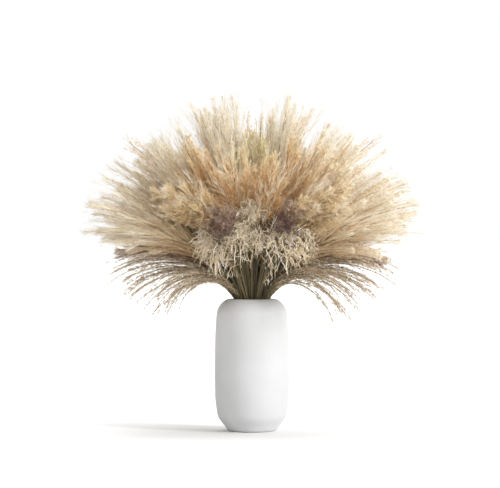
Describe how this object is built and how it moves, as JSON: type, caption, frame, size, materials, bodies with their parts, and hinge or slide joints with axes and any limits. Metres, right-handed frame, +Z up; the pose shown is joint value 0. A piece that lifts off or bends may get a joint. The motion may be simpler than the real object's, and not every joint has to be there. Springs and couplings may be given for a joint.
{
  "type": "pampas grass bundle in a vase",
  "caption": "Full round bundle of dried pampas and reed grass: golden upright stalks, feathery plumes, curled straw leaves and arching seed stalks, in a matte white vase.",
  "frame": {"origin": "centre of the vase's foot, on the surface that it stands on", "axes": "+Z up along the vase's axis; the bundle's front faces -Y and +X is to the right seen from the front"},
  "size_m": [0.4862, 0.4011, 0.4971],
  "materials": {
    "white_ceramic": "matte",
    "golden_grass": "matte",
    "seed_grass": "matte",
    "cream_grass": "matte",
    "tan_grass": "matte",
    "blush_grass": "matte",
    "straw_grass": "matte",
    "mauve_grass": "matte",
    "dry_leaf": "matte",
    "dark_grass": "matte"
  },
  "bodies": {
    "root": {"vase": "white_ceramic", "golden_stalk_01": "golden_grass", "golden_stalk_02": "golden_grass", "golden_stalk_03": "golden_grass", "golden_stalk_04": "golden_grass", "golden_stalk_05": "golden_grass", "golden_stalk_06": "golden_grass", "golden_stalk_07": "golden_grass", "seed_stalk_01": "seed_grass", "seed_stalk_02": "seed_grass", "seed_stalk_03": "seed_grass", "seed_stalk_04": "seed_grass", "seed_stalk_05": "seed_grass", "seed_stalk_06": "seed_grass", "cream_plume_01": "cream_grass", "cream_plume_02": "cream_grass", "cream_plume_03": "cream_grass", "cream_plume_04": "cream_grass", "cream_plume_05": "cream_grass", "cream_plume_06": "cream_grass", "cream_plume_07": "cream_grass", "cream_plume_08": "cream_grass", "tan_plume_01": "tan_grass", "tan_plume_02": "tan_grass", "tan_plume_03": "tan_grass", "tan_plume_04": "tan_grass", "tan_plume_05": "tan_grass", "tan_plume_06": "tan_grass", "tan_plume_07": "tan_grass", "tan_plume_08": "tan_grass", "blush_plume_01": "blush_grass", "blush_plume_02": "blush_grass", "blush_plume_03": "blush_grass", "blush_plume_04": "blush_grass", "blush_plume_05": "blush_grass", "blush_plume_06": "blush_grass", "blush_plume_07": "blush_grass", "blush_plume_08": "blush_grass", "straw_plume_01": "straw_grass", "straw_plume_02": "straw_grass", "straw_plume_03": "straw_grass", "straw_plume_04": "straw_grass", "mauve_plume_01": "mauve_grass", "mauve_plume_02": "mauve_grass", "mauve_plume_03": "mauve_grass", "mauve_plume_04": "mauve_grass", "straw_leaf_01": "dry_leaf", "straw_leaf_02": "dry_leaf", "straw_leaf_03": "dry_leaf", "straw_leaf_04": "dry_leaf", "straw_leaf_05": "dry_leaf", "straw_leaf_06": "dry_leaf", "drooping_stalk_01": "dark_grass", "drooping_stalk_02": "dark_grass", "drooping_stalk_03": "dark_grass", "drooping_stalk_04": "dark_grass", "drooping_stalk_05": "dark_grass", "drooping_stalk_06": "dark_grass", "drooping_stalk_07": "dark_grass", "drooping_stalk_08": "dark_grass"}
  },
  "joints": []
}
